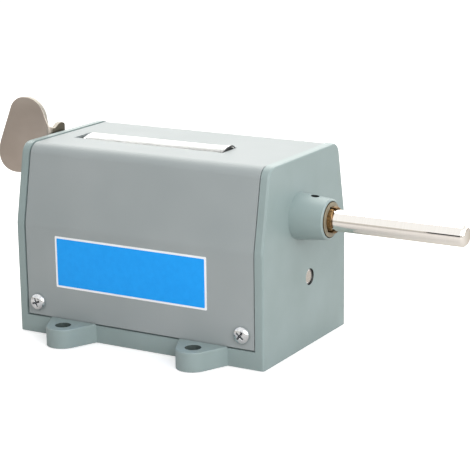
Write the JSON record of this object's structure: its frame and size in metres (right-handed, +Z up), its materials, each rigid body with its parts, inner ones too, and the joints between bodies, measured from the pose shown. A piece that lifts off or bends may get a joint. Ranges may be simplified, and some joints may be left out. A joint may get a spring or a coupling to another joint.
{
  "type": "mechanical counter",
  "caption": "Base-mounted revolution counter with number wheels under a top window, a drive shaft on the right and a wing key that resets it on the left.",
  "frame": {"origin": "centre of the flat underside of the base, between the end plates' outer faces", "axes": "+X along the drive shaft, out of its end; +Z up; the labelled front faces -Y"},
  "size_m": [0.202, 0.093, 0.0871],
  "materials": {
    "casting_paint": "satin grey-green paint on a die casting",
    "cover_paint": "satin grey paint on bent sheet steel",
    "clear_sheet": "clear polished plastic",
    "plated_steel": "zinc-plated steel",
    "bright_steel": "ground and polished steel",
    "bronze": "sintered bronze, machined",
    "brass": "machined brass",
    "die_cast_zinc": "raw die-cast zinc",
    "wheel_plastic": "black moulded plastic",
    "spring_steel": "blued spring steel",
    "nickel_sheet": "nickel-plated pressed steel"
  },
  "bodies": {
    "housing": {"frame": "casting_paint", "cover": "cover_paint", "window_lens": "clear_sheet", "cover_screw_front_left": "plated_steel", "cover_screw_front_right": "plated_steel", "cover_screw_rear_left": "plated_steel", "cover_screw_rear_right": "plated_steel", "drive_bush": "bronze", "reset_shaft_bush": "bronze", "key_bush": "bronze", "pinion_spindle": "bright_steel", "spindle_spacer_1": "brass", "spindle_spacer_2": "brass", "spindle_spacer_3": "brass", "spindle_spacer_4": "brass", "spindle_spacer_5": "brass", "spindle_spacer_6": "brass"},
    "drive": {"input_shaft": "bright_steel", "drive_disc": "die_cast_zinc", "drive_pin": "bright_steel", "thrust_collar": "plated_steel"},
    "units": {"units_wheel": "wheel_plastic", "units_zero_spring": "spring_steel"},
    "tens": {"tens_wheel": "wheel_plastic", "tens_zero_spring": "spring_steel"},
    "hundreds": {"hundreds_wheel": "wheel_plastic", "hundreds_zero_spring": "spring_steel"},
    "thousands": {"thousands_wheel": "wheel_plastic", "thousands_zero_spring": "spring_steel"},
    "ten_thousands": {"ten_thousands_wheel": "wheel_plastic", "ten_thousands_zero_spring": "spring_steel"},
    "units_transfer": {"units_pinion": "brass"},
    "tens_transfer": {"tens_pinion": "brass"},
    "hundreds_transfer": {"hundreds_pinion": "brass"},
    "thousands_transfer": {"thousands_pinion": "brass"},
    "ten_thousands_transfer": {"ten_thousands_pinion": "brass"},
    "reset": {"reset_shaft": "bright_steel", "reset_gear": "brass"},
    "key": {"wing_key": "nickel_sheet", "key_washer": "plated_steel", "key_screw": "plated_steel", "key_spindle": "bright_steel", "key_pinion": "brass"}
  },
  "joints": [
    {"name": "drive_spin", "type": "hinge", "parent": "housing", "child": "drive", "pos_m": [0, -0.005, 0.052], "axis": [1, 0, 0], "continuous": true},
    {"name": "units_spin", "type": "hinge", "parent": "housing", "child": "units", "pos_m": [0, -0.005, 0.052], "axis": [1, 0, 0], "continuous": true},
    {"name": "tens_spin", "type": "hinge", "parent": "housing", "child": "tens", "pos_m": [0, -0.005, 0.052], "axis": [1, 0, 0], "continuous": true},
    {"name": "hundreds_spin", "type": "hinge", "parent": "housing", "child": "hundreds", "pos_m": [0, -0.005, 0.052], "axis": [1, 0, 0], "continuous": true},
    {"name": "thousands_spin", "type": "hinge", "parent": "housing", "child": "thousands", "pos_m": [0, -0.005, 0.052], "axis": [1, 0, 0], "continuous": true},
    {"name": "ten_thousands_spin", "type": "hinge", "parent": "housing", "child": "ten_thousands", "pos_m": [0, -0.005, 0.052], "axis": [1, 0, 0], "continuous": true},
    {"name": "units_transfer_spin", "type": "hinge", "parent": "housing", "child": "units_transfer", "pos_m": [0, 0.00309, 0.02666], "axis": [1, 0, 0], "continuous": true},
    {"name": "tens_transfer_spin", "type": "hinge", "parent": "housing", "child": "tens_transfer", "pos_m": [0, 0.00309, 0.02666], "axis": [1, 0, 0], "continuous": true},
    {"name": "hundreds_transfer_spin", "type": "hinge", "parent": "housing", "child": "hundreds_transfer", "pos_m": [0, 0.00309, 0.02666], "axis": [1, 0, 0], "continuous": true},
    {"name": "thousands_transfer_spin", "type": "hinge", "parent": "housing", "child": "thousands_transfer", "pos_m": [0, 0.00309, 0.02666], "axis": [1, 0, 0], "continuous": true},
    {"name": "ten_thousands_transfer_spin", "type": "hinge", "parent": "housing", "child": "ten_thousands_transfer", "pos_m": [0, 0.00309, 0.02666], "axis": [1, 0, 0], "continuous": true},
    {"name": "key_turn", "type": "hinge", "parent": "housing", "child": "key", "pos_m": [0, -0.00068, 0.06553], "axis": [1, 0, 0], "continuous": true},
    {"name": "reset_turn", "type": "hinge", "parent": "housing", "child": "reset", "pos_m": [0, -0.005, 0.052], "axis": [1, 0, 0], "continuous": true}
  ],
  "couplings": [
    {"joint": "units_spin", "follows": "drive_spin", "ratio": 0.1},
    {"joint": "tens_spin", "follows": "drive_spin", "ratio": 0.01},
    {"joint": "hundreds_spin", "follows": "drive_spin", "ratio": 0.001},
    {"joint": "thousands_spin", "follows": "drive_spin", "ratio": 0.0001},
    {"joint": "ten_thousands_spin", "follows": "drive_spin", "ratio": 0.00001},
    {"joint": "units_transfer_spin", "follows": "drive_spin", "ratio": -0.25},
    {"joint": "tens_transfer_spin", "follows": "drive_spin", "ratio": -0.025},
    {"joint": "hundreds_transfer_spin", "follows": "drive_spin", "ratio": -0.0025},
    {"joint": "thousands_transfer_spin", "follows": "drive_spin", "ratio": -0.00025},
    {"joint": "ten_thousands_transfer_spin", "follows": "drive_spin", "ratio": -0.000025},
    {"joint": "reset_turn", "follows": "key_turn", "ratio": -0.5}
  ]
}
